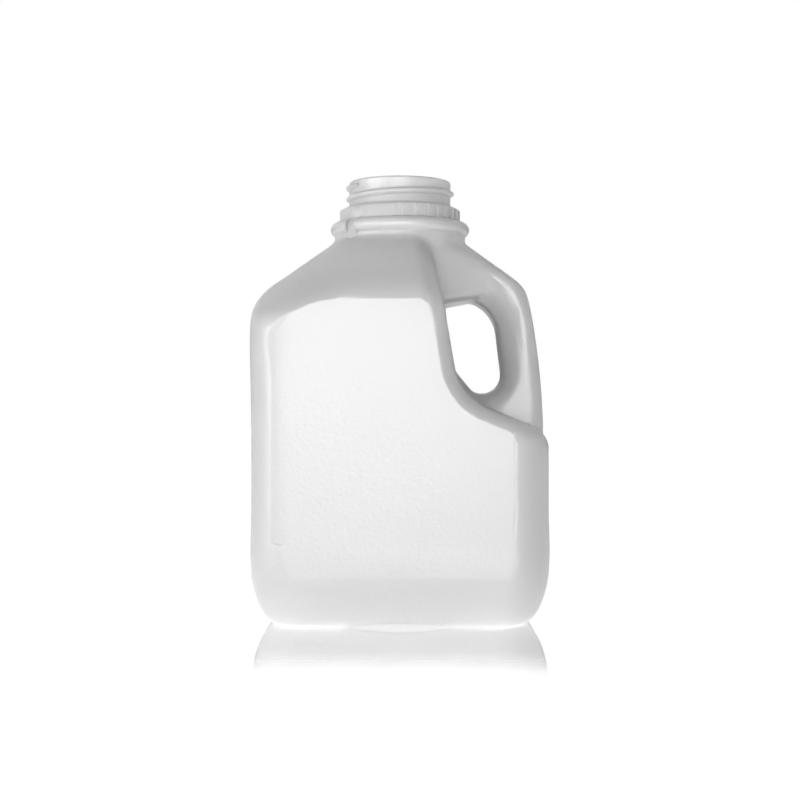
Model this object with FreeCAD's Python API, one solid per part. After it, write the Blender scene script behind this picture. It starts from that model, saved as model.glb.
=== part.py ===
import FreeCAD, Part
import math
import os

# Empty blow-moulded dairy bottle with a hollow through handle and a screw neck.
# Millimetres. +Z is up, the base rests on z = 0 and the neck stands on the Z axis.
# The handle is on +X. The mould parts on the plane y = 0, so front and back are alike.

V = FreeCAD.Vector

near = 0.01                  # points closer than this are the same point
cutClear = 1.0               # cuts run on this far past what they cut

# Body
width = 97.6                 # across the handle side, +X to -X
depth = 97.6                 # front to back
wall = 0.65                  # blown wall
cornerRadius = 14.5          # upright corners, in plan
footCornerShare = 0.5        # the corners' radius shrinks by this share of the turn-in
footHeight = 23.0            # the sides start to turn in at this height
footInset = 9.6              # how far they would turn in, a little below the base
footSink = 0.35              # depth of that point below the base
footLevels = (0.035, 0.12, 0.27, 0.5, 0.75, 1.0)    # plan sections, as shares of footHeight
sideLevels = (0.12, 0.35, 0.6, 0.85, 1.0)           # and of the height from there to the shoulder
waist = 0.3                  # the side panels are drawn in by this
waistBottom = 27.0
waistTop = 86.0
waistBlend = 9.0

# Shoulder
neckZ = 127.8                # where the shoulder meets the neck
crownRise = 3.0              # the shoulder slope runs on this far up inside the neck
sideSlope = 35.5             # degrees, at the sides
sideShoulderRadius = 14.0
faceSlope = 37.5             # degrees, at the front and back
faceShoulderRadius = 14.0
roundingStart = 32.0         # below neckZ: the square plan starts to turn round
roundingEnd = 12.0           # below neckZ: the plan is as good as round
roundShare = 0.97            # corner radius there, as a share of the half width
shoulderSteps = 11           # plan sections from the rounding's start to the crown

# Recess for the hand, cut through from front to back
recessTopX = 13.0
recessTopDrop = 17.8         # recessTopX is measured this far below neckZ
recessLean = 10.0            # degrees from upright
recessCornerRadius = 17.0
ledgeZ = 62.1                # height of the ledge at the handle side
ledgeSlope = 22.5            # degrees, falling towards the handle side
recessEdgeRadius = 8.0
recessEdgeStop = 1.5         # edges this close to the neck stay sharp

# Handle
handleDepth = 26.0
handleCornerRadius = 11.5
handleTopInset = 5.4         # the handle's top corner lies this far inside the body width
handleProud = 0.5            # and its foot this far outside it
handleBulge = 1.3
handleRunDown = 12.0         # it runs on this far below the ledge, inside the body
handleRunWidth = 11.4        # and is this wide there
handleRunBehind = 0.6        # and this far behind the body's side
handleRootX = 2.0            # its other end, inside the neck
handleEdgeRadius = 4.6
armThickness = 14.1          # upper arm, square to the shoulder slope
armDrop = 1.3                # the arm's top lies this far below the line of the shoulder
gripWidth = 12.5
gripInnerRadius = 6.0
armRootStart = 4.0           # the arm spreads to this x beside the neck
armRootEnd = 33.0            # and has narrowed into the handle here
armRootHalf = 20.5           # half depth at its start
armRootEndHalf = 12.2
armRootDrop = 0.3            # below the arm's own top
armRootUnderZ = 104.0        # height of its underside at the start
armRootUnderSlope = 9.0      # degrees, rising towards the handle
armRootEdge = 3.8
holeBottomZ = 75.3
holeCorners = [3.3, 14.0, 6.6, 5.0, 12.0]
webTop = 2.5                 # pinched web between the body and the hole, at its top
webFoot = 0.5                # and at its foot
webFootZ = 84.4
webMargin = 2.0              # the hollow stays out of the web this far above and below it
holeFootWidth = 10.6         # foot of the hole, between its corners

# Label panels, front and back
panelDepth = 0.6
panelBottomZ = 25.1
panelRamp = 1.7              # height of the slope that closes the panel below
panelRight = 36.0
panelFlatLeft = 34.7         # left of this the panel turns back towards the corner
panelLeft = 41.8
panelTurnDepth = 1.75
bandDepth = 0.3              # flat band below the panel
bandFootZ = 4.0
panelClear = 10.0            # the panel's cut reaches this far out in front

# Base
archRise = 1.3               # the arch across the base, front to back
archRadius = 112.0
dishRise = 2.6
dishInset = 9.0              # from the contact outline
dishWall = 7.0               # how far the dish's sides lean in
floorDepth = 10.0            # the cut that levels the base reaches this far down

# Neck finish
totalHeight = 149.0
neckRadius = 22.75
neckWall = 1.1               # wall at the foot of the neck
ringWall = 1.6               # wall behind the roots of the ratchet teeth
rootSkirt = 0.5              # the neck's upright foot reaches this far below neckZ
rootRadius = 8.0             # below it a 45 degree cone closes the neck over the recess
wallRadius = 17.7            # outside of the upright neck wall
boreRadius = 16.0
rimRounding = 0.7
boreChamfer = 0.42
ringRadius = 21.0            # tips of the ratchet teeth
ringRootRadius = 20.1
ringBottomZ = 135.1
ringTopZ = 138.9
ringConeZ = 140.6            # where the sloping top of the ring meets the neck wall
beadRadius = 24.2
beadZ = 132.3
beadThickness = 5.0
toothPitch = 360.0 / 31
toothCount = 8
toothFirst = -8.5            # degrees from the front towards the handle
toothTip = 0.08              # share of the pitch that is flat at the tip
toothFoot = 0.72             # share where the ramp down from it ends
notchAngle = -47.0
notchWidth = 11.0            # degrees
notchRadius = 21.3


def smoothStep(start, end, value):
    """0 below start, 1 above end, with level ends."""
    share = min(1.0, max(0.0, (value - start) / (end - start)))
    return share * share * (3.0 - 2.0 * share)


def shoulderStart(half, radius, slope):
    """Height where an upright wall starts to turn in so that its slope ends at the neck."""
    angle = math.radians(slope)
    run = half - radius * (1.0 - math.sin(angle)) - neckRadius
    return neckZ - radius * math.cos(angle) - run * math.tan(angle)


def shoulderHalf(z, half, radius, slope):
    """Half size of the body at height z: upright, then an arc, then a straight slope."""
    angle = math.radians(slope)
    start = shoulderStart(half, radius, slope)
    end = start + radius * math.cos(angle)
    if z <= start:
        return half
    if z <= end:
        share = (z - start) / radius
        return half - radius * (1.0 - math.sqrt(1.0 - share * share))
    return half - radius * (1.0 - math.sin(angle)) - (z - end) / math.tan(angle)


def footTurn(z):
    """How far the sides have turned in at height z above the base: a quarter ellipse."""
    if z >= footHeight:
        return 0.0
    share = (footHeight - z) / (footHeight + footSink)
    return footInset * (1.0 - math.sqrt(1.0 - share * share))


def waistTurn(z):
    rising = smoothStep(waistBottom, waistBottom + waistBlend, z)
    falling = smoothStep(waistTop - waistBlend, waistTop, z)
    return waist * rising * (1.0 - falling)


def halfSizes(z):
    """Half width and half depth of the outside at height z."""
    halfX = shoulderHalf(z, width / 2.0, sideShoulderRadius, sideSlope) - footTurn(z) - waistTurn(z)
    halfY = shoulderHalf(z, depth / 2.0, faceShoulderRadius, faceSlope) - footTurn(z)
    return halfX, halfY


def planSection(z, inset):
    """Rounded oblong of the body at height z, moved inwards square to the surface by inset."""
    step = 0.05
    lowX, lowY = halfSizes(z - step)
    highX, highY = halfSizes(z + step)
    slopeX = (highX - lowX) / (2.0 * step)
    slopeY = (highY - lowY) / (2.0 * step)
    halfX, halfY = halfSizes(z)
    lengthX = math.hypot(1.0, slopeX)
    lengthY = math.hypot(1.0, slopeY)
    drop = inset * (slopeX / lengthX + slopeY / lengthY) / 2.0
    smaller = min(halfX, halfY)
    radius = cornerRadius - footCornerShare * footTurn(z)
    rounding = smoothStep(neckZ - roundingStart, neckZ - roundingEnd, z)
    radius = radius + (roundShare * smaller - radius) * rounding
    halfX = halfX - inset / lengthX
    halfY = halfY - inset / lengthY
    return halfX, halfY, radius - inset, z + drop


def roundedOblong(halfX, halfY, radius, z):
    """Wire of four lines and four arcs, the same way round at every height."""
    centreX = halfX - radius
    centreY = halfY - radius
    lean = radius * math.sqrt(0.5)
    edges = []
    for turn in range(4):
        signX = (1, -1, -1, 1)[turn]
        signY = (1, 1, -1, -1)[turn]
        side = V(signX * halfX, signY * centreY, z)
        middle = V(signX * (centreX + lean), signY * (centreY + lean), z)
        face = V(signX * centreX, signY * halfY, z)
        if turn % 2 == 0:
            edges.append(Part.Arc(side, middle, face).toShape())
            edges.append(Part.LineSegment(face, V(-face.x, face.y, z)).toShape())
        else:
            edges.append(Part.Arc(face, middle, side).toShape())
            edges.append(Part.LineSegment(side, V(side.x, -side.y, z)).toShape())
    return Part.Wire(edges)


def bodyLevels():
    """Heights of the plan sections: close together where the outline turns."""
    levels = [-footSink / 2.0]
    for share in footLevels:
        levels.append(footHeight * share)
    start = neckZ - roundingStart
    for share in sideLevels:
        levels.append(footHeight + (start - footHeight) * share)
    for step in range(1, shoulderSteps + 1):
        levels.append(start + (neckZ + crownRise - start) * step / shoulderSteps)
    return levels


def bodyForm(inset):
    """Body and shoulder without the hand recess."""
    wires = []
    for z in bodyLevels():
        halfX, halfY, radius, height = planSection(z, inset)
        wires.append(roundedOblong(halfX, halfY, radius, height))
    return Part.makeLoft(wires, True, False)


def meet(pointA, directionA, pointB, directionB):
    """Where two lines in an XZ plane cross."""
    cross = directionA.x * directionB.z - directionA.z * directionB.x
    gap = pointB - pointA
    share = (gap.x * directionB.z - gap.z * directionB.x) / cross
    return pointA + directionA * share


def roundedOutline(corners, radii):
    """Closed wire through corners, each rounded to its own radius (0 keeps it sharp)."""
    rounds = []
    count = len(corners)
    for index in range(count):
        corner = corners[index]
        radius = radii[index]
        back = corners[index - 1] - corner
        ahead = corners[(index + 1) % count] - corner
        back.normalize()
        ahead.normalize()
        half = back.getAngle(ahead) / 2.0
        reach = radius / math.tan(half)
        inwards = back + ahead
        inwards.normalize()
        middle = corner + inwards * (radius / math.sin(half) - radius)
        rounds.append((corner + back * reach, middle, corner + ahead * reach))
    edges = []
    for index in range(count):
        start, middle, end = rounds[index]
        if radii[index] > 0:
            edges.append(Part.Arc(start, middle, end).toShape())
        following = rounds[(index + 1) % count][0]
        if end.distanceToPoint(following) > near:
            edges.append(Part.LineSegment(end, following).toShape())
    return Part.Wire(edges)


def throughCut(wire, reach):
    """Solid made by pushing an XZ outline from y = -reach to y = reach."""
    face = Part.Face(wire)
    face.translate(V(0, -reach, 0))
    return face.extrude(V(0, 2.0 * reach, 0))


def valleyLines(inset):
    """The two straight runs of the recess: down along the body, then out along the ledge."""
    lean = math.radians(recessLean)
    fall = math.radians(ledgeSlope)
    down = V(math.sin(lean), 0, -math.cos(lean))
    out = V(math.cos(fall), 0, -math.sin(fall))
    intoBody = V(-math.cos(lean), 0, -math.sin(lean))
    intoLedge = V(-math.sin(fall), 0, -math.cos(fall))
    onBody = V(recessTopX, 0, neckZ - recessTopDrop) + intoBody * inset
    onLedge = V(width / 2.0, 0, ledgeZ) + intoLedge * inset
    return onBody, down, onLedge, out


def valleyX(z):
    onBody, down, onLedge, out = valleyLines(0.0)
    return onBody.x + down.x * (z - onBody.z) / down.z


def handRecess(inset):
    """Everything beside the body and above the ledge."""
    onBody, down, onLedge, out = valleyLines(inset)
    corner = meet(onBody, down, onLedge, out)
    top = onBody - down * (totalHeight - onBody.z)
    end = onLedge + out * width
    corners = [top, corner, end, V(end.x, 0, top.z)]
    wire = roundedOutline(corners, [0, recessCornerRadius + inset, 0, 0])
    return throughCut(wire, depth)


def bodyBesideRecess(inset):
    """Body with the recess cut through it and the recess's long edges rounded."""
    margin = 1.0
    shape = bodyForm(inset).cut(handRecess(inset))
    cutFaces = []
    for face in shape.Faces:
        centre = face.CenterOfMass
        flat = isinstance(face.Surface, (Part.Plane, Part.Cylinder))
        if flat and margin < centre.z < neckZ - margin and abs(centre.y) < margin:
            cutFaces.append(face)
    edges = []
    for face in cutFaces:
        for edge in face.Edges:
            owners = 0
            for other in cutFaces:
                for candidate in other.Edges:
                    if candidate.isSame(edge):
                        owners += 1
            middle = edge.valueAt((edge.FirstParameter + edge.LastParameter) / 2.0)
            if owners == 1 and middle.z < neckZ - recessEdgeStop:
                edges.append(edge)
    return shape.makeFillet(recessEdgeRadius - inset, edges)


def slopePoint(x, lower):
    """Point above x on top of the handle's arm, moved down square to it by lower."""
    angle = math.radians(sideSlope)
    z = neckZ - armDrop - (x - neckRadius) * math.tan(angle) - lower / math.cos(angle)
    return V(x, 0, z)


def handleOutline(inset):
    """XZ outline of the handle slab, from the neck over the top to its foot in the body."""
    half = width / 2.0
    slope = math.radians(sideSlope)
    along = V(math.cos(slope), 0, -math.sin(slope))
    inner = slopePoint(0.0, inset)
    topX = half - handleTopInset
    top = slopePoint(topX, 0.0)
    foot = V(half + handleProud, 0, ledgeZ)
    chord = foot - top
    length = chord.Length
    chord.normalize()
    outward = V(-chord.z, 0, chord.x)
    radius = length * length / (8.0 * handleBulge)
    middle = top + chord * (length / 2.0) + outward * handleBulge
    centre = middle - outward * radius
    insideRadius = radius - inset
    # where the moved-in edge crosses the moved-in slope
    gap = inner - centre
    reach = along.dot(gap)
    share = -reach + math.sqrt(reach * reach - gap.dot(gap) + insideRadius * insideRadius)
    topCorner = inner + along * share
    footOut = foot - centre
    footOut.normalize()
    footPoint = centre + footOut * insideRadius
    halfway = (topCorner + footPoint) * 0.5 - centre
    halfway.normalize()
    arcMiddle = centre + halfway * insideRadius
    low = V(half - handleRunBehind - inset, 0, ledgeZ - handleRunDown)
    lowInner = V(half - handleRunBehind - handleRunWidth, 0, low.z)
    back = V(handleRootX, 0, holeBottomZ)
    edges = [
        Part.LineSegment(inner, topCorner).toShape(),
        Part.Arc(topCorner, arcMiddle, footPoint).toShape(),
        Part.LineSegment(footPoint, low).toShape(),
        Part.LineSegment(low, lowInner).toShape(),
        Part.LineSegment(lowInner, back).toShape(),
        Part.LineSegment(back, inner).toShape(),
    ]
    return Part.Wire(edges), topCorner


def gripLine(z):
    """Outer edge of the handle at height z, near enough for placing the hole."""
    half = width / 2.0
    topZ = slopePoint(half - handleTopInset, 0.0).z
    share = (topZ - z) / (topZ - ledgeZ)
    lean = (handleTopInset + handleProud) * share
    return half - handleTopInset + lean + 4.0 * handleBulge * share * (1.0 - share)


def holeOutline(grow):
    """Finger hole: five straight sides with rounded corners, grown outwards by grow."""
    slope = math.radians(sideSlope)
    along = V(math.cos(slope), 0, -math.sin(slope))
    topLine = slopePoint(0.0, armThickness)
    webFootX = valleyX(webFootZ) + webFoot
    topZ = slopePoint(recessTopX, armThickness).z
    webTopX = valleyX(topZ) + webTop
    webDirection = V(webTopX - webFootX, 0, topZ - webFootZ)
    topLeft = meet(topLine, along, V(webFootX, 0, webFootZ), webDirection)
    gripTopZ = slopePoint(width / 2.0 - gripWidth, armThickness).z
    gripTop = V(gripLine(gripTopZ) - gripWidth, 0, gripTopZ)
    gripFoot = V(gripLine(holeBottomZ) - gripWidth, 0, holeBottomZ)
    topRight = meet(topLine, along, gripTop, gripFoot - gripTop)
    webCorner = V(webFootX, 0, webFootZ)
    corners = [topLeft, topRight, gripFoot, gripFoot - V(holeFootWidth, 0, 0), webCorner]
    radii = [radius + grow for radius in holeCorners]
    return roundedOutline(grownCorners(corners, grow), radii)


def grownCorners(corners, grow):
    """Corners of a clockwise outline after each side has moved outwards by grow."""
    sides = []
    count = len(corners)
    for index in range(count):
        start = corners[index]
        direction = corners[(index + 1) % count] - start
        direction.normalize()
        outward = V(-direction.z, 0, direction.x)
        sides.append((start + outward * grow, direction))
    moved = []
    for index in range(count):
        before = sides[index - 1]
        after = sides[index]
        moved.append(meet(before[0], before[1], after[0], after[1]))
    return moved


def onSlabFace(edge, half):
    return abs(abs(edge.CenterOfMass.y) - half) < near


def handleForm(inset):
    """Handle slab with its hole; its foot and root run on inside the body."""
    wire, topCorner = handleOutline(inset)
    half = handleDepth / 2.0 - inset
    slab = throughCut(wire, half)
    corner = [edge for edge in slab.Edges if edge.CenterOfMass.distanceToPoint(topCorner) < near]
    slab = slab.makeFillet(handleCornerRadius - inset, corner)
    slab = slab.cut(throughCut(holeOutline(inset), depth))
    rim = []
    outer = []
    for edge in slab.Edges:
        centre = edge.CenterOfMass
        if not onSlabFace(edge, half):
            continue
        underArm = centre.z < slopePoint(centre.x, armThickness / 2.0).z
        inHole = valleyX(centre.z) < centre.x < gripLine(centre.z) - gripWidth / 2.0
        if underArm and inHole and centre.z > holeBottomZ - gripWidth / 2.0:
            rim.append(edge)
        onSlope = centre.z > slopePoint(centre.x, inset + armThickness / 2.0).z
        onGrip = centre.x > gripLine(centre.z) - gripWidth / 2.0 and centre.z > ledgeZ
        if onSlope or onGrip:
            outer.append(edge)
    slab = slab.makeFillet(gripInnerRadius - inset, rim)
    outer = [edge for edge in slab.Edges if any(same(edge, old) for old in outer)]
    return slab.makeFillet(handleEdgeRadius - inset, outer)


def armRoot(inset):
    """Fairing on both sides of the upper arm, where it grows out of the shoulder, still sharp."""
    slope = math.radians(sideSlope)
    under = math.radians(armRootUnderSlope)
    lower = armDrop + armRootDrop + inset / math.cos(slope)
    topZ = neckZ - lower + neckRadius * math.tan(slope)
    reach = width / 2.0
    edges = [
        line(0, 0, reach, 0),
        line(reach, 0, reach, topZ - reach * math.tan(slope)),
        line(reach, topZ - reach * math.tan(slope), 0, topZ),
        line(0, topZ, 0, 0),
    ]
    taper = math.atan2(armRootHalf - armRootEndHalf, armRootEnd - armRootStart)
    startHalf = armRootHalf - inset / math.cos(taper)
    endHalf = armRootEndHalf - inset / math.cos(taper)
    plan = [
        V(armRootStart, startHalf, 0),
        V(armRootEnd, endHalf, 0),
        V(armRootEnd, -endHalf, 0),
        V(armRootStart, -startHalf, 0),
    ]
    startZ = armRootUnderZ + inset / math.cos(under)
    endZ = startZ + (armRootEnd - armRootStart) * math.tan(under)
    spread = Part.Face(Part.makePolygon(plan + plan[:1])).extrude(V(0, 0, totalHeight))
    side = [
        V(armRootStart, 0, startZ),
        V(armRootStart, 0, totalHeight),
        V(armRootEnd, 0, totalHeight),
        V(armRootEnd, 0, endZ),
    ]
    wedge = throughCut(Part.makePolygon(side + side[:1]), depth)
    return revolved(edges).common(spread).common(wedge)


def roundedArmRoot():
    root = armRoot(0.0)
    rounded = []
    for edge in root.Edges:
        centre = edge.CenterOfMass
        along = armRootStart + wall < centre.x < armRootEnd - wall
        if along and abs(centre.y) > armRootEndHalf - wall:
            rounded.append(edge)
    return root.makeFillet(armRootEdge, rounded)


def armRootHollow():
    """Inside of the fairing: sharp, and deep enough to stay a wall clear of the rounded edges."""
    return armRoot(wall + armRootEdge * (1.0 - math.sqrt(0.5)))


def same(edge, other):
    """True where two edges of the old and the new shape lie on each other."""
    close = edge.CenterOfMass.distanceToPoint(other.CenterOfMass) < near
    return close and abs(edge.Length - other.Length) < near


def webBlock():
    """Region of the pinched web beside the hole, which the handle's hollow stays out of."""
    topZ = slopePoint(recessTopX, armThickness).z - webMargin
    footZ = webFootZ - webMargin
    intoBody = 2.0 * wall
    corners = [
        V(valleyX(topZ) - intoBody, 0, topZ),
        V(valleyX(topZ) + 2.0 * webTop, 0, topZ),
        V(valleyX(footZ) + 3.0 * webTop, 0, footZ),
        V(valleyX(footZ) - intoBody, 0, footZ),
    ]
    return throughCut(Part.makePolygon(corners + corners[:1]), depth)


def polar(radius, azimuth, z):
    """Point at an angle counted from the front (-Y) towards the handle (+X)."""
    angle = math.radians(azimuth - 90.0)
    return V(radius * math.cos(angle), radius * math.sin(angle), z)


def revolved(edges):
    return Part.Face(Part.Wire(edges)).revolve(V(0, 0, 0), V(0, 0, 1), 360)


def line(startX, startZ, endX, endZ):
    return Part.LineSegment(V(startX, 0, startZ), V(endX, 0, endZ)).toShape()


def toothGap(azimuth):
    """Space between two ratchet teeth: a ramp down from one tip, then the next tooth's flat face."""
    clear = ringRadius + cutClear
    tip = azimuth + toothTip * toothPitch
    foot = azimuth + toothFoot * toothPitch
    following = azimuth + toothPitch
    bottom = ringBottomZ
    points = [
        polar(clear, tip, bottom),
        polar(ringRadius, tip, bottom),
        polar(ringRootRadius, foot, bottom),
        polar(ringRootRadius, following, bottom),
        polar(clear, following, bottom),
    ]
    face = Part.Face(Part.makePolygon(points + points[:1]))
    return face.extrude(V(0, 0, ringConeZ - bottom))


def beadNotch(azimuth):
    """Upright slot through the bead."""
    clear = beadRadius + cutClear
    points = [
        polar(notchRadius, azimuth - notchWidth / 2.0, beadZ - beadThickness),
        polar(clear, azimuth - notchWidth / 2.0, beadZ - beadThickness),
        polar(clear, azimuth + notchWidth / 2.0, beadZ - beadThickness),
        polar(notchRadius, azimuth + notchWidth / 2.0, beadZ - beadThickness),
    ]
    face = Part.Face(Part.makePolygon(points + points[:1]))
    return face.extrude(V(0, 0, ringBottomZ - beadZ + beadThickness))


def neckForm():
    """Outside of the neck: bead, ratchet ring and upright wall."""
    small = beadThickness / 2.0
    centreX = beadRadius - small
    under = neckRadius - centreX
    beadStart = V(neckRadius, 0, beadZ - math.sqrt(small * small - under * under))
    beadTop = V(centreX, 0, beadZ + small)
    rimArc = rimRounding * (1.0 - math.sqrt(0.5))
    rimSide = V(wallRadius, 0, totalHeight - rimRounding)
    rimMiddle = V(wallRadius - rimArc, 0, totalHeight - rimArc)
    rimTop = V(wallRadius - rimRounding, 0, totalHeight)
    rootZ = neckZ - rootSkirt
    coneZ = rootZ - (neckRadius - rootRadius)
    edges = [
        line(0, coneZ, rootRadius, coneZ),
        line(rootRadius, coneZ, neckRadius, rootZ),
        line(neckRadius, rootZ, neckRadius, beadStart.z),
        Part.Arc(beadStart, V(beadRadius, 0, beadZ), beadTop).toShape(),
        line(beadTop.x, beadTop.z, ringRadius, ringBottomZ),
        line(ringRadius, ringBottomZ, ringRadius, ringTopZ),
        line(ringRadius, ringTopZ, wallRadius, ringConeZ),
        line(wallRadius, ringConeZ, wallRadius, rimSide.z),
        Part.Arc(rimSide, rimMiddle, rimTop).toShape(),
        line(rimTop.x, totalHeight, 0, totalHeight),
        line(0, totalHeight, 0, coneZ),
    ]
    neck = revolved(edges)
    cuts = []
    for side in (0.0, 180.0):
        cuts.append(beadNotch(notchAngle + side))
        for index in range(toothCount):
            cuts.append(toothGap(toothFirst + side + index * toothPitch))
    return neck.cut(cuts)


def boreForm():
    """Inside of the neck: wide behind the bead, then in to the straight bore."""
    above = totalHeight + wall
    openRadius = neckRadius - neckWall
    rootZ = neckZ - rootSkirt - openRadius + neckRadius - wall * math.sqrt(2.0)
    coneZ = rootZ - (openRadius - rootRadius)
    edges = [
        line(0, coneZ, rootRadius, coneZ),
        line(rootRadius, coneZ, openRadius, rootZ),
        line(openRadius, rootZ, openRadius, beadZ - neckWall),
        line(openRadius, beadZ - neckWall, ringRootRadius - ringWall, ringBottomZ + neckWall),
        line(ringRootRadius - ringWall, ringBottomZ + neckWall, boreRadius, ringConeZ),
        line(boreRadius, ringConeZ, boreRadius, totalHeight - boreChamfer),
        line(boreRadius, totalHeight - boreChamfer, boreRadius + boreChamfer, totalHeight),
        line(boreRadius + boreChamfer, totalHeight, boreRadius + boreChamfer, above),
        line(boreRadius + boreChamfer, above, 0, above),
        line(0, above, 0, coneZ),
    ]
    return revolved(edges)


def facePanel(inset):
    """What the label panel and the band below it take off the front."""
    face = -depth / 2.0 + inset
    clear = face - panelClear
    top = neckZ
    right = panelRight + inset
    rampZ = panelBottomZ + panelRamp
    turnZ = rampZ + panelRamp
    plan = [
        V(-panelLeft, clear, 0),
        V(-panelLeft, face + panelTurnDepth, 0),
        V(-panelFlatLeft, face + panelDepth, 0),
        V(right, face + panelDepth, 0),
        V(right, clear, 0),
    ]
    upright = Part.Face(Part.makePolygon(plan + plan[:1])).extrude(V(0, 0, top))
    side = [
        V(0, clear, panelBottomZ),
        V(0, face + bandDepth, panelBottomZ),
        V(0, face + panelDepth, rampZ),
        V(0, face + panelTurnDepth, turnZ),
        V(0, face + panelTurnDepth, top),
        V(0, clear, top),
    ]
    profile = Part.Face(Part.makePolygon(side + side[:1]))
    profile.translate(V(-width, 0, 0))
    panel = upright.common(profile.extrude(V(2.0 * width, 0, 0)))
    bandHeight = panelBottomZ + panelRamp / 2.0 - bandFootZ
    corner = V(-width / 2.0, clear, bandFootZ)
    band = Part.makeBox(width, panelClear + bandDepth, bandHeight, corner)
    return panel.fuse(band)


def baseCut(inset):
    """Flat contact ring, the arch from front to back and the dish between the feet."""
    corner = V(-width, -depth, inset - floorDepth)
    floor = Part.makeBox(2.0 * width, 2.0 * depth, floorDepth, corner)
    arch = archRadius + inset
    centreZ = archRise - archRadius
    channel = Part.makeCylinder(arch, 2.0 * depth, V(0, -depth, centreZ), V(0, 1, 0))
    contact = width / 2.0 - footTurn(0.0)
    low = contact - dishInset + inset
    high = low - dishWall
    wide = low + dishWall / dishRise
    ring = roundedOblong(wide, wide, cornerRadius, -cutClear)
    crown = roundedOblong(high, high, cornerRadius - dishWall / 2.0, dishRise + inset)
    dish = Part.makeLoft([ring, crown], True, True)
    return channel.fuse([dish, floor])


def bottle():
    """Outside form less the same form moved in by the wall."""
    outside = bodyBesideRecess(0.0).fuse([handleForm(0.0), roundedArmRoot(), neckForm()])
    front = facePanel(0.0)
    outside = outside.cut([front, front.mirror(V(0, 0, 0), V(0, 1, 0)), baseCut(0.0)])
    inside = bodyBesideRecess(wall)
    front = facePanel(wall)
    inside = inside.cut([front, front.mirror(V(0, 0, 0), V(0, 1, 0)), baseCut(wall)])
    inside = inside.fuse([handleForm(wall).cut(webBlock()), armRootHollow(), boreForm()])
    return outside.cut(inside)


os.makedirs("parts", exist_ok=True)
shape = bottle()
print("solids", len(shape.Solids), "valid", shape.isValid(), "volume", round(shape.Volume))
shape.exportStep("parts/bottle.step")
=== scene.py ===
import math
import bpy
import bmesh
from mathutils import Matrix, Vector

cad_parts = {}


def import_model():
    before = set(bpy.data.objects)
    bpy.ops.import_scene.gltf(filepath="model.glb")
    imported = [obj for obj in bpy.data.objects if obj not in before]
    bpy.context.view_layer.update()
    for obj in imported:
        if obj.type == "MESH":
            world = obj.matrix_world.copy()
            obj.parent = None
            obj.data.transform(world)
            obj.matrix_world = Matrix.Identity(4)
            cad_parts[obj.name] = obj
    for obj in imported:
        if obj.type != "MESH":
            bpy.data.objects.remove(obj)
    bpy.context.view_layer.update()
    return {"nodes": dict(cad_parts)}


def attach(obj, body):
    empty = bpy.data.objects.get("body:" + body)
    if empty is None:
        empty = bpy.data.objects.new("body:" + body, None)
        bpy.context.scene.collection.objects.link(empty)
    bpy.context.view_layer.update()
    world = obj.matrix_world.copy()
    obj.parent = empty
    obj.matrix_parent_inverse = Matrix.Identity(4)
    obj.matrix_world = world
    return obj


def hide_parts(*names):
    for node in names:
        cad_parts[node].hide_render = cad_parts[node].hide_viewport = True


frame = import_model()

scene = bpy.context.scene
mergeDistance = 1e-6        # metres


def node(tree, kind, **values):
    made = tree.nodes.new(kind)
    for name, value in values.items():
        setattr(made, name, value)
    return made


def maths(tree, operation, first, second):
    # each input is a socket or a number
    made = node(tree, "ShaderNodeMath", operation=operation)
    for socket, value in zip(made.inputs, (first, second)):
        if isinstance(value, (int, float)):
            socket.default_value = value
        else:
            tree.links.new(value, socket)
    return made.outputs[0]


def mapRange(tree, value, start, end, startValue, endValue, interpolation="LINEAR"):
    made = node(tree, "ShaderNodeMapRange", interpolation_type=interpolation)
    made.inputs["From Min"].default_value = start
    made.inputs["From Max"].default_value = end
    made.inputs["To Min"].default_value = startValue
    made.inputs["To Max"].default_value = endValue
    tree.links.new(value, made.inputs["Value"])
    return made.outputs["Result"]


def newMaterial(name):
    material = bpy.data.materials.new(name)
    material.use_nodes = True
    material.node_tree.nodes.clear()
    return material, material.node_tree


def smoothStep(start, end, value):
    share = min(1.0, max(0.0, (value - start) / (end - start)))
    return share * share * (3.0 - 2.0 * share)


# Camera, level with the middle of the bottle

view = {
    "distance": 0.490,      # metres from the neck's axis
    "height": 0.073,
    "lens": 62.9,
    "sensor": 36.0,
}


def camera():
    data = bpy.data.cameras.new("camera")
    data.lens = view["lens"]
    data.sensor_width = view["sensor"]
    eye = bpy.data.objects.new("camera", data)
    scene.collection.objects.link(eye)
    eye.location = (0.0, -view["distance"], view["height"])
    eye.rotation_euler = (math.pi / 2.0, 0.0, 0.0)
    scene.camera = eye


# Studio: white room, white sheet that shines near the bottle, three soft boxes

studio = {
    "keySize": 0.62, "keyPower": 11.0, "keyPlace": (-0.05, -0.95, 0.0),
    "leftSize": 0.55, "leftPower": 6.0, "leftPlace": (-0.75, -0.50, 0.15),
    "topSize": 0.5, "topPower": 0.25, "topPlace": (0.0, 0.1, 0.85),
    "aimHeight": 0.07,
    "roomLight": 0.10,
    "sideGloss": 0.25,      # what satin gloss sees low down in the room
    "glossLow": 0.11,       # it brightens from this rise, a sine,
    "glossHigh": 0.15,      # to white at this one
    "sheetHalf": 3.0,
    "sheetColour": (0.9, 0.9, 0.9, 1.0),
    "sheetWhite": 0.90,     # light that the sheet gives off to the camera, near the bottle
    "sheetFar": 0.6,        # it is all white to the camera from this far away
    "sheetGlow": 1.05,      # light that it gives off to the bottle
    "mirrorShare": 0.95,
    "mirrorStart": 0.075,   # the sheet's shine dies away from here
    "mirrorEnd": 0.150,     # to here
}


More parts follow.
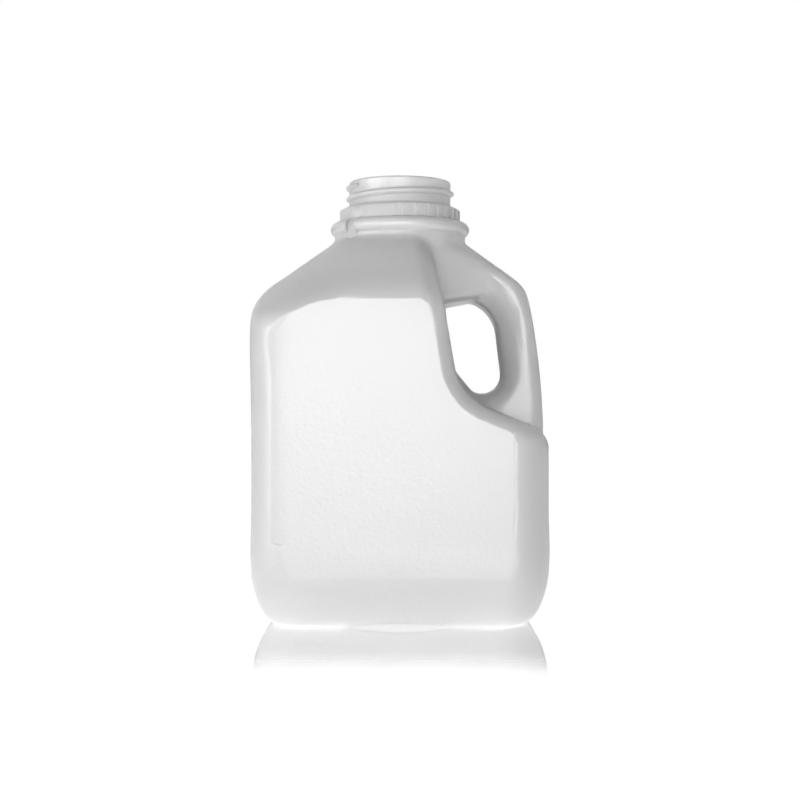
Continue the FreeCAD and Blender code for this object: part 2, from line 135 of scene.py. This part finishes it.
def world():
    made = bpy.data.worlds.new("studioRoom")
    scene.world = made
    made.use_nodes = True
    tree = made.node_tree
    tree.nodes.clear()
    path = node(tree, "ShaderNodeLightPath")
    place = node(tree, "ShaderNodeTexCoord")
    split = node(tree, "ShaderNodeSeparateXYZ")
    tree.links.new(place.outputs["Generated"], split.inputs[0])
    lift = mapRange(tree, split.outputs["Z"], studio["glossLow"], studio["glossHigh"],
                    studio["sideGloss"], 1.0)
    clear = maths(tree, "MAXIMUM", path.outputs["Is Camera Ray"], path.outputs["Is Transmission Ray"])
    clear = maths(tree, "MAXIMUM", clear, path.outputs["Is Singular Ray"])  # the sheet's mirror
    gloss = maths(tree, "MULTIPLY", path.outputs["Is Glossy Ray"], lift)
    seen = maths(tree, "MAXIMUM", clear, gloss)
    room = node(tree, "ShaderNodeBackground")
    room.inputs["Color"].default_value = (1.0, 1.0, 1.0, 1.0)
    tree.links.new(maths(tree, "MAXIMUM", seen, studio["roomLight"]), room.inputs["Strength"])
    output = node(tree, "ShaderNodeOutputWorld")
    tree.links.new(room.outputs[0], output.inputs["Surface"])


def sheetMaterial():
    material, tree = newMaterial("whiteSheet")
    place = node(tree, "ShaderNodeTexCoord")
    split = node(tree, "ShaderNodeSeparateXYZ")
    tree.links.new(place.outputs["Object"], split.inputs[0])
    besideX = maths(tree, "ABSOLUTE", split.outputs["X"], 0.0)
    besideY = maths(tree, "ABSOLUTE", split.outputs["Y"], 0.0)
    away = maths(tree, "MAXIMUM", besideX, besideY)     # square distance from the neck's axis

    path = node(tree, "ShaderNodeLightPath")
    clear = maths(tree, "MAXIMUM", path.outputs["Is Camera Ray"], path.outputs["Is Transmission Ray"])
    far = mapRange(tree, away, studio["mirrorEnd"], studio["sheetFar"], studio["sheetWhite"], 1.0)
    shown = maths(tree, "MULTIPLY", clear, far)
    glow = maths(tree, "MULTIPLY", maths(tree, "SUBTRACT", 1.0, clear), studio["sheetGlow"])
    matte = node(tree, "ShaderNodeBsdfDiffuse")
    matte.inputs["Color"].default_value = studio["sheetColour"]
    white = node(tree, "ShaderNodeEmission")
    white.inputs["Color"].default_value = (1.0, 1.0, 1.0, 1.0)
    tree.links.new(maths(tree, "ADD", shown, glow), white.inputs["Strength"])
    bright = node(tree, "ShaderNodeAddShader")      # the matte part keeps the shadow
    tree.links.new(matte.outputs[0], bright.inputs[0])
    tree.links.new(white.outputs[0], bright.inputs[1])

    fade = mapRange(tree, away, studio["mirrorStart"], studio["mirrorEnd"],
                    studio["mirrorShare"], 0.0, "SMOOTHSTEP")
    mirror = node(tree, "ShaderNodeBsdfGlossy")
    mirror.inputs["Color"].default_value = (1.0, 1.0, 1.0, 1.0)
    mirror.inputs["Roughness"].default_value = 0.0
    mix = node(tree, "ShaderNodeMixShader")
    tree.links.new(maths(tree, "MULTIPLY", fade, path.outputs["Is Camera Ray"]), mix.inputs[0])
    tree.links.new(bright.outputs[0], mix.inputs[1])
    tree.links.new(mirror.outputs[0], mix.inputs[2])
    output = node(tree, "ShaderNodeOutputMaterial")
    tree.links.new(mix.outputs[0], output.inputs["Surface"])
    return material


def floorPiece():
    shape = bmesh.new()
    bmesh.ops.create_grid(shape, x_segments=1, y_segments=1, size=studio["sheetHalf"])
    mesh = bpy.data.meshes.new("floor")
    shape.to_mesh(mesh)
    shape.free()
    floor = bpy.data.objects.new("floor", mesh)
    scene.collection.objects.link(floor)
    mesh.materials.append(sheetMaterial())


def softLight(side):
    data = bpy.data.lights.new(side + "Softbox", "AREA")
    data.shape = "SQUARE"
    data.size = studio[side + "Size"]
    data.energy = studio[side + "Power"]
    lamp = bpy.data.objects.new(side + "Softbox", data)
    scene.collection.objects.link(lamp)
    lamp.location = studio[side + "Place"]
    aim = Vector((0.0, 0.0, studio["aimHeight"])) - Vector(studio[side + "Place"])
    lamp.rotation_euler = aim.to_track_quat("-Z", "Y").to_euler()


# Milky polyethylene: satin, part see-through, with a fine grain over a broad waviness

plastic = {
    "colour": (0.70, 0.70, 0.70, 1.0),
    "roughness": 0.34,
    "refraction": 1.54,
    "specular": 0.75,
    "seeThrough": 0.55,
    "scatter": 0.7, "scatterDepth": 0.002,
    "grainScale": 900.0, "grainDetail": 3.0, "grainDepth": 0.00008,
    "waveScale": 45.0, "waveDetail": 2.0, "waveDepth": 0.00025,
}


def noiseBump(tree, place, kind):
    noise = node(tree, "ShaderNodeTexNoise")
    noise.inputs["Scale"].default_value = plastic[kind + "Scale"]
    noise.inputs["Detail"].default_value = plastic[kind + "Detail"]
    tree.links.new(place.outputs["Object"], noise.inputs["Vector"])
    bump = node(tree, "ShaderNodeBump")
    bump.inputs["Strength"].default_value = 1.0
    bump.inputs["Distance"].default_value = plastic[kind + "Depth"]
    tree.links.new(noise.outputs["Fac"], bump.inputs["Height"])
    return bump


def milkyPlastic():
    material, tree = newMaterial("milkyPlastic")
    shader = node(tree, "ShaderNodeBsdfPrincipled")
    shader.inputs["Base Color"].default_value = plastic["colour"]
    shader.inputs["Roughness"].default_value = plastic["roughness"]
    shader.inputs["IOR"].default_value = plastic["refraction"]
    shader.inputs["Specular IOR Level"].default_value = plastic["specular"]
    shader.inputs["Transmission Weight"].default_value = plastic["seeThrough"]
    shader.inputs["Subsurface Weight"].default_value = plastic["scatter"]
    shader.inputs["Subsurface Radius"].default_value = (1.0, 1.0, 1.0)
    shader.inputs["Subsurface Scale"].default_value = plastic["scatterDepth"]
    place = node(tree, "ShaderNodeTexCoord")
    wave = noiseBump(tree, place, "wave")
    grain = noiseBump(tree, place, "grain")
    tree.links.new(wave.outputs["Normal"], grain.inputs["Normal"])
    tree.links.new(grain.outputs["Normal"], shader.inputs["Normal"])
    output = node(tree, "ShaderNodeOutputMaterial")
    tree.links.new(shader.outputs["BSDF"], output.inputs["Surface"])
    return material


def placePiece(name, mesh, material, sharpAngle):
    mesh.materials.append(material)
    mesh.polygons.foreach_set("use_smooth", [True] * len(mesh.polygons))
    mesh.set_sharp_from_angle(angle=math.radians(sharpAngle))
    piece = bpy.data.objects.new(name, mesh)
    scene.collection.objects.link(piece)
    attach(piece, "root")
    print(name + ":", len(mesh.polygons), "faces")
    return piece


# Bottle: a copy of the solid with its handle leaned and its creases softened

body = {
    "sharpAngle": 32.0,
    "halvings": 4,                      # of long edges, before softening
    "pull": 0.5,                        # share of the way to its neighbours' middle, each round
    "neckRoot": (0.02275, 0.1273),      # radius and height of the crease under the bead
    "neckReach": 0.0075, "neckReachUp": 0.0024, "neckSpacing": 0.0010, "neckRounds": 26,
    "armLow": (0.006, 0.008, 0.1005),   # x, distance from the middle plane, height
    "armHigh": (0.048, 0.030, 0.1265),
    "armFade": 0.005, "armSpacing": 0.0013, "armRounds": 20,
    "gripLow": (0.020, -0.010, 0.066),  # below 0, so that the middle plane is well inside
    "gripHigh": (0.060, 0.020, 0.112),
    "gripFade": 0.006, "gripSpacing": 0.0014, "gripRounds": 9,
    "notchPlace": (-0.0162, -0.0150, 0.1313), "notchReach": 0.0052,
    "notchSpacing": 0.0007, "notchRounds": 6,
}

handle = {
    "halfDepth": 0.0135,
    "holeCentre": (0.0255, 0.0915),     # x and height of the middle of the finger hole
    "holeHalf": (0.0085, 0.0150),
    "thinning": 0.22,                   # share of the depth lost beside the hole
    "ridge": 2.2,                       # full depth again this many hole radii out
    "fromX": (0.017, 0.025),
    "fromZ": (0.064, 0.076),
}


def leanHandle(shape):
    # front and back slope in from the outer ridge towards the finger hole
    centreX, centreZ = handle["holeCentre"]
    halfX, halfZ = handle["holeHalf"]
    for corner in shape.verts:
        place = corner.co
        if place.x < handle["fromX"][0] or abs(place.y) > handle["halfDepth"]:
            continue
        out = math.hypot((place.x - centreX) / halfX, (place.z - centreZ) / halfZ)
        share = 1.0 - smoothStep(1.0, handle["ridge"], out)
        share *= smoothStep(*handle["fromX"], place.x) * smoothStep(*handle["fromZ"], place.z)
        place.y *= 1.0 - handle["thinning"] * share


def neckWeight(place):
    radius, height = body["neckRoot"]
    above = place.z - height
    if above > 0.0:
        above *= body["neckReach"] / body["neckReachUp"]
    return 1.0 - math.hypot(math.hypot(place.x, place.y) - radius, above) / body["neckReach"]


def boxWeight(place, part):
    # 1 or more well inside the part's box, falling to 0 at its sides
    fade = body[part + "Fade"]
    weight = 1.0
    beside = (place.x, abs(place.y), place.z)
    for start, value, end in zip(body[part + "Low"], beside, body[part + "High"]):
        weight = min(weight, (value - start) / fade, (end - value) / fade)
    return weight


def armWeight(place):
    return boxWeight(place, "arm")


def gripWeight(place):
    return boxWeight(place, "grip")


def notchWeight(place):
    x, y, z = body["notchPlace"]    # its twin is half a turn away
    near = min(math.dist(place, (x, y, z)), math.dist(place, (-x, -y, z)))
    return 1.0 - near / body["notchReach"]


def softened(shape, part, weightAt):
    spacing = body[part + "Spacing"]
    rounds = body[part + "Rounds"]
    for halving in range(body["halvings"]):
        long = [edge for edge in shape.edges if edge.calc_length() > spacing
                and max(weightAt(edge.verts[0].co), weightAt(edge.verts[1].co)) > 0.0]
        bmesh.ops.subdivide_edges(shape, edges=long, cuts=1)
        bmesh.ops.triangulate(shape, faces=[face for face in shape.faces if len(face.verts) > 3])
    weights = [(corner, weightAt(corner.co)) for corner in shape.verts]
    for turn in range(rounds):
        inside = [corner for corner, weight in weights if weight > turn / rounds]
        bmesh.ops.smooth_vert(shape, verts=inside, factor=body["pull"],
                              use_axis_x=True, use_axis_y=True, use_axis_z=True)


def bottleBody(material):
    mesh = frame["nodes"]["bottle"].data.copy()
    shape = bmesh.new()
    shape.from_mesh(mesh)
    bmesh.ops.remove_doubles(shape, verts=shape.verts, dist=mergeDistance)
    leanHandle(shape)
    softened(shape, "grip", gripWeight)
    softened(shape, "arm", armWeight)
    softened(shape, "notch", notchWeight)
    softened(shape, "neck", neckWeight)
    shape.to_mesh(mesh)
    shape.free()
    mesh.materials.clear()
    piece = placePiece("milkBottle", mesh, material, body["sharpAngle"])
    weighted = piece.modifiers.new("weightedNormals", "WEIGHTED_NORMAL")
    weighted.mode = "FACE_AREA_WITH_ANGLE"
    weighted.keep_sharp = True
    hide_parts("bottle")


# Screw thread: right-handed, one turn and a bit, fading out at both ends

thread = {
    "crest": 0.01885, "root": 0.01745, "pitch": 0.0042,
    "crestDrop": 0.0002,        # the crest's two sides lie this far inside it
    "rootHalf": 0.00125, "crestHalf": 0.00050,
    "heightAtLeft": 0.1429,     # where it first passes the side away from the handle
    "startAngle": 145.0, "turns": 1.2,
    "stepsPerTurn": 120, "fadeAngle": 26.0,
    "sharpAngle": 75.0,
}


def neckThread(material):
    shape = bmesh.new()
    start = math.radians(thread["startAngle"])
    rise = thread["pitch"] / (2.0 * math.pi)
    startHeight = thread["heightAtLeft"] + rise * (start - math.pi)
    shoulder = thread["crest"] - thread["crestDrop"]
    profile = []
    for radius, height in (
        (thread["root"], -thread["rootHalf"]),
        (shoulder, -thread["crestHalf"]),
        (thread["crest"], 0.0),
        (shoulder, thread["crestHalf"]),
        (thread["root"], thread["rootHalf"]),
    ):
        corner = (radius * math.cos(start), radius * math.sin(start), startHeight + height)
        profile.append(shape.verts.new(corner))
    loop = []
    for index, corner in enumerate(profile):
        loop.append(shape.edges.new((corner, profile[(index + 1) % len(profile)])))
    steps = round(thread["stepsPerTurn"] * thread["turns"])
    turned = math.radians(360.0 * thread["turns"])
    bmesh.ops.spin(shape, geom=profile + loop, cent=(0, 0, 0), axis=(0, 0, 1),
                   dvec=(0, 0, rise * turned / steps), angle=turned, steps=steps)
    bmesh.ops.holes_fill(shape, edges=[edge for edge in shape.edges if edge.is_boundary])
    bmesh.ops.recalc_face_normals(shape, faces=shape.faces)
    fade = math.radians(thread["fadeAngle"])
    for corner in shape.verts:
        radius = math.hypot(corner.co.x, corner.co.y)
        along = (corner.co.z - startHeight) / rise
        share = smoothStep(0.0, fade, min(along, turned - along))
        wanted = thread["root"] + (radius - thread["root"]) * share
        corner.co.x *= wanted / radius
        corner.co.y *= wanted / radius
    mesh = bpy.data.meshes.new("neckThread")
    shape.to_mesh(mesh)
    shape.free()
    placePiece("neckThread", mesh, material, thread["sharpAngle"])


# Walls behind the bead's two notches, where the solid's neck is cut right through

notchBack = {
    # radius and height round the cross-section
    "profile": ((0.02178, 0.1276), (0.0226, 0.1276), (0.0226, 0.1330), (0.0211, 0.1350),
                (0.0209, 0.1346), (0.0210, 0.1326), (0.02178, 0.1311)),
    "middle": -137.0, "spread": 13.0, "steps": 12,
    "sharpAngle": 40.0,
}


def notchWalls(material):
    shape = bmesh.new()
    start = math.radians(notchBack["middle"] - notchBack["spread"] / 2.0)
    ring = []
    for radius, height in notchBack["profile"]:
        ring.append(shape.verts.new((radius * math.cos(start), radius * math.sin(start), height)))
    face = shape.faces.new(ring)
    bmesh.ops.spin(shape, geom=[face], cent=(0, 0, 0), axis=(0, 0, 1),
                   angle=math.radians(notchBack["spread"]), steps=notchBack["steps"])
    bmesh.ops.remove_doubles(shape, verts=shape.verts, dist=mergeDistance)
    bmesh.ops.recalc_face_normals(shape, faces=shape.faces)
    twin = bmesh.ops.duplicate(shape, geom=shape.verts[:] + shape.edges[:] + shape.faces[:])
    corners = [item for item in twin["geom"] if isinstance(item, bmesh.types.BMVert)]
    bmesh.ops.rotate(shape, verts=corners, cent=(0, 0, 0), matrix=Matrix.Rotation(math.pi, 3, "Z"))
    mesh = bpy.data.meshes.new("notchWalls")
    shape.to_mesh(mesh)
    shape.free()
    placePiece("notchWalls", mesh, material, notchBack["sharpAngle"])


camera()
world()
floorPiece()
for side in ("key", "left", "top"):
    softLight(side)
print("studio set")

milky = milkyPlastic()
bottleBody(milky)
neckThread(milky)
notchWalls(milky)

scene.view_settings.view_transform = "Standard"
